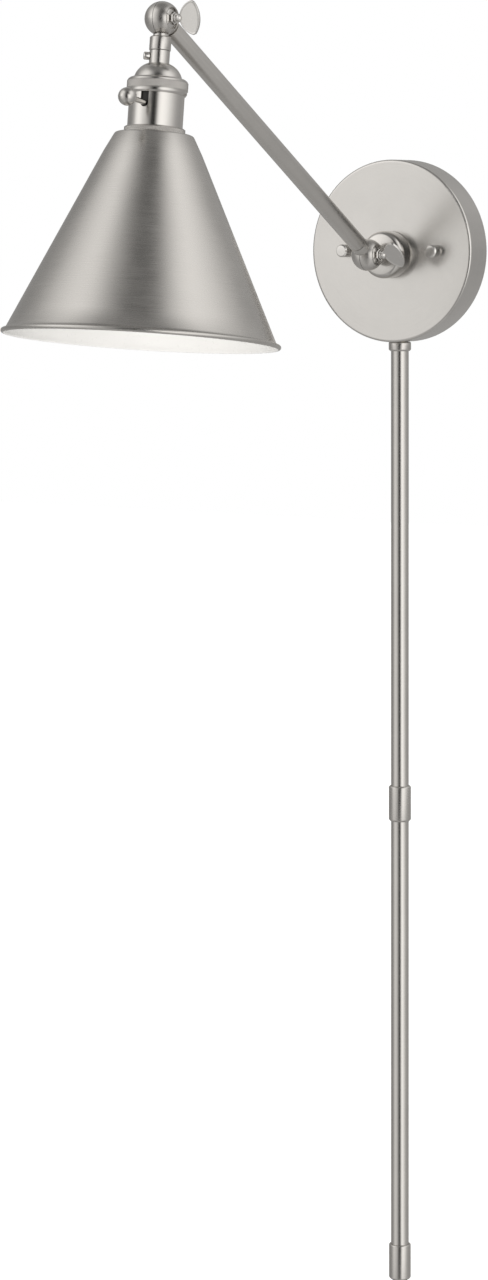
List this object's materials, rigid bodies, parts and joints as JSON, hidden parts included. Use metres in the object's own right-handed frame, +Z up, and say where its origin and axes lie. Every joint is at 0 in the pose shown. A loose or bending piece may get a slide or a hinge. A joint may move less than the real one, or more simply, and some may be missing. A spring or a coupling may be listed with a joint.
{
  "type": "wall lamp",
  "caption": "Plug-in pharmacy wall lamp: round plate, ball-jointed arm with thumb keys, turn-knob socket, cone shade and a vertical cord cover.",
  "frame": {"origin": "centre of the wall plate, in the wall's plane", "axes": "+Z up the wall, +Y into the wall, +X to the right as seen by someone facing the wall"},
  "size_m": [0.1748, 0.4202, 0.8767],
  "materials": {
    "satin_nickel": "satin brushed nickel plate",
    "shade_metal": "satin brushed nickel outside, white enamel inside",
    "polished_nickel": "bright nickel plate",
    "zinc_steel": "zinc-plated steel",
    "brass": "turned brass",
    "green_steel": "green earth screw",
    "black_moulding": "black phenolic moulding",
    "red_fibre": "red vulcanised fibre",
    "black_rubber": "black rubber",
    "wire_insulation": "insulated stranded lead",
    "bulb_glass": "frosted glass",
    "bulb_metal": "bulb cap"
  },
  "bodies": {
    "wall_plate": {"mounting_bracket": "zinc_steel", "plate_studs": "zinc_steel", "stud_lock_nuts": "zinc_steel", "ground_screw": "green_steel", "backplate": "satin_nickel", "cap_nuts": "polished_nickel", "hub_dome": "satin_nickel", "hub_bushing": "brass", "hub_nut": "zinc_steel", "cord_nipple": "zinc_steel", "cord_nipple_nut": "zinc_steel", "cord_collar": "satin_nickel", "upper_cord_tube": "satin_nickel", "tube_coupling": "satin_nickel", "lower_cord_tube": "satin_nickel", "end_barrel": "satin_nickel", "cord_outlet_grommet": "black_rubber"},
    "hub_swivel": {"hub_stem": "satin_nickel", "stem_washer": "zinc_steel", "stem_nut": "zinc_steel", "lower_friction_washer": "red_fibre"},
    "arm": {"arm_lower_knuckle": "satin_nickel", "lower_knuckle_washer": "polished_nickel", "lower_knuckle_nut": "polished_nickel", "arm_tube": "satin_nickel", "arm_lead_wires": "wire_insulation", "arm_upper_knuckle": "satin_nickel", "upper_friction_washer": "red_fibre"},
    "head": {"head_knuckle": "satin_nickel", "upper_knuckle_washer": "polished_nickel", "upper_knuckle_nut": "polished_nickel", "head_sleeve": "satin_nickel", "socket_cap": "satin_nickel", "neck_set_screw": "polished_nickel", "knurled_collar": "satin_nickel", "socket_shell": "satin_nickel", "switch_block": "black_moulding", "terminal_screws": "brass", "lampholder_sleeve": "black_moulding", "screw_shell": "brass", "centre_contact": "brass", "bulb_base": "bulb_metal", "bulb_envelope": "bulb_glass", "shade_ring": "satin_nickel", "shade": "shade_metal", "shade_retaining_ring": "black_moulding"},
    "knob": {"switch_knob": "satin_nickel"},
    "lower_key": {"lower_thumb_key": "satin_nickel"},
    "upper_key": {"upper_thumb_key": "satin_nickel"}
  },
  "joints": [
    {"name": "hub_swivel_turn", "type": "hinge", "parent": "wall_plate", "child": "hub_swivel", "pos_m": [0, -0.038, -0.0025], "axis": [0, 1, 0], "range_deg": [-90, 90]},
    {"name": "arm_tilt", "type": "hinge", "parent": "hub_swivel", "child": "arm", "pos_m": [0, -0.0545, -0.0025], "axis": [1, 0, 0], "range_deg": [-50, 60]},
    {"name": "shade_tilt", "type": "hinge", "parent": "arm", "child": "head", "pos_m": [0, -0.30967, 0.14751], "axis": [1, 0, 0], "range_deg": [-130, 6]},
    {"name": "lower_key_turn", "type": "hinge", "parent": "arm", "child": "lower_key", "pos_m": [0, -0.0545, -0.0025], "axis": [1, 0, 0], "range_deg": [0, 180]},
    {"name": "upper_key_turn", "type": "hinge", "parent": "head", "child": "upper_key", "pos_m": [0, -0.30967, 0.14751], "axis": [1, 0, 0], "range_deg": [0, 180]},
    {"name": "switch_turn", "type": "hinge", "parent": "head", "child": "knob", "pos_m": [0, -0.3162, 0.09239], "axis": [0.1392, -0.9834, 0.1164], "continuous": true}
  ]
}
